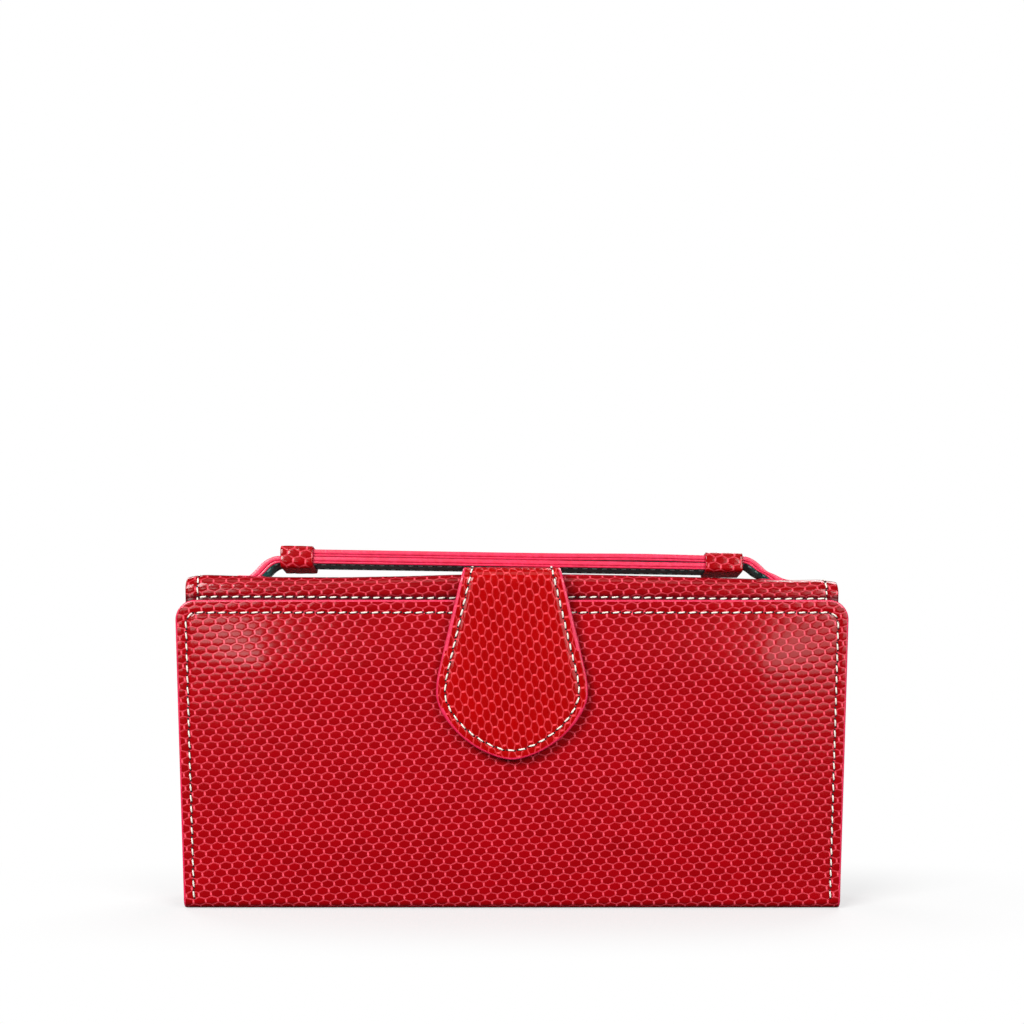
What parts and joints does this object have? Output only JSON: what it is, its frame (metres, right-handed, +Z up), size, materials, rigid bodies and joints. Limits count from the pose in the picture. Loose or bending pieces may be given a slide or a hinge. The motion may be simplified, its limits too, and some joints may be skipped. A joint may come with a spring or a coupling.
{
  "type": "phone wallet case",
  "caption": "Clutch-size phone wallet case in snake-embossed patent leather, with a folding cover, snap tab, strap handle, card slots and a zipped coin pocket.",
  "frame": {"origin": "middle of the base, at the centre of the bounding box's lower face", "axes": "+X along the wallet to its right as seen from the front, -Y out of the cover, +Z up"},
  "size_m": [0.2, 0.034, 0.1084],
  "materials": {
    "patent": "glossy snake-embossed patent leather, red with pinkish lines between the scales",
    "patent_tab": "glossy snake-embossed patent leather, scales turned a quarter turn",
    "slot_leather": "smooth satin leather",
    "strap_leather": "smooth leather with pink-red painted edges",
    "strap_lining": "dark teal lining ply",
    "lining": "woven lining, dark red",
    "zip_tape": "woven zip tape, dark red",
    "board": "grey bookbinding board",
    "nickel": "polished nickel plate",
    "steel": "plain steel washer"
  },
  "bodies": {
    "body": {"outer_wrap": "patent", "bottom_fold": "patent", "back_board": "board", "base_board": "board", "body_lining": "lining", "gusset_left": "patent", "gusset_right": "patent", "pocket_wall": "patent", "coin_pocket_back": "lining", "divider": "lining", "zip_tapes": "zip_tape", "zip_chain_upper": "nickel", "zip_chain_lower": "nickel", "zip_end_stops": "nickel", "tab_bridge": "patent_tab", "tab_bridge_lining": "lining", "riser_left": "strap_leather", "riser_right": "strap_leather", "anchor_patches": "lining"},
    "cover": {"cover_leather": "patent", "cover_board": "board", "cover_lining": "lining", "card_slot_left_1": "slot_leather", "card_slot_left_2": "slot_leather", "card_slot_left_3": "slot_leather", "card_slot_right_1": "slot_leather", "card_slot_right_2": "slot_leather", "card_slot_right_3": "slot_leather", "snap_socket": "nickel", "snap_socket_washer": "steel"},
    "tab": {"tab_tongue": "patent_tab", "tab_tongue_lining": "lining", "snap_stud": "nickel", "snap_stud_washer": "steel"},
    "handle_left": {"strap_left": "strap_leather", "strap_left_lining": "strap_lining", "keeper_right": "patent_tab"},
    "handle_right": {"strap_right": "strap_leather", "strap_right_lining": "strap_lining", "keeper_left": "patent_tab"},
    "slider": {"zip_slider": "nickel"},
    "puller": {"zip_puller": "nickel"}
  },
  "joints": [
    {"name": "cover_open", "type": "hinge", "parent": "body", "child": "cover", "pos_m": [0, -0.01236, 0.00064], "axis": [1, 0, 0], "range_deg": [0, 88], "deforming": ["bottom_fold", "tab_tongue", "tab_tongue_lining", "snap_stud", "snap_stud_washer"]},
    {"name": "tab_fold", "type": "hinge", "parent": "body", "child": "tab", "pos_m": [0, -0.0149, 0.1007], "axis": [-1, 0, 0], "range_deg": [0, 150]},
    {"name": "handle_lift", "type": "slide", "parent": "body", "child": "handle_left", "axis": [-0.4472, 0, 0.8944], "range_m": [0, 0.03913], "deforming": ["riser_left", "riser_right"]},
    {"name": "handle_lift_right", "type": "slide", "parent": "body", "child": "handle_right", "axis": [0.4472, 0, 0.8944], "range_m": [0, 0.03913]},
    {"name": "zip_slide", "type": "slide", "parent": "body", "child": "slider", "axis": [-1, 0, 0], "range_m": [0, 0.15]},
    {"name": "zip_pull_swing", "type": "hinge", "parent": "slider", "child": "puller", "pos_m": [0.075, -0.0088, 0.06], "axis": [0, 1, 0], "range_deg": [-60, 60]}
  ],
  "couplings": [
    {"joint": "handle_lift_right", "follows": "handle_lift", "ratio": 1}
  ]
}
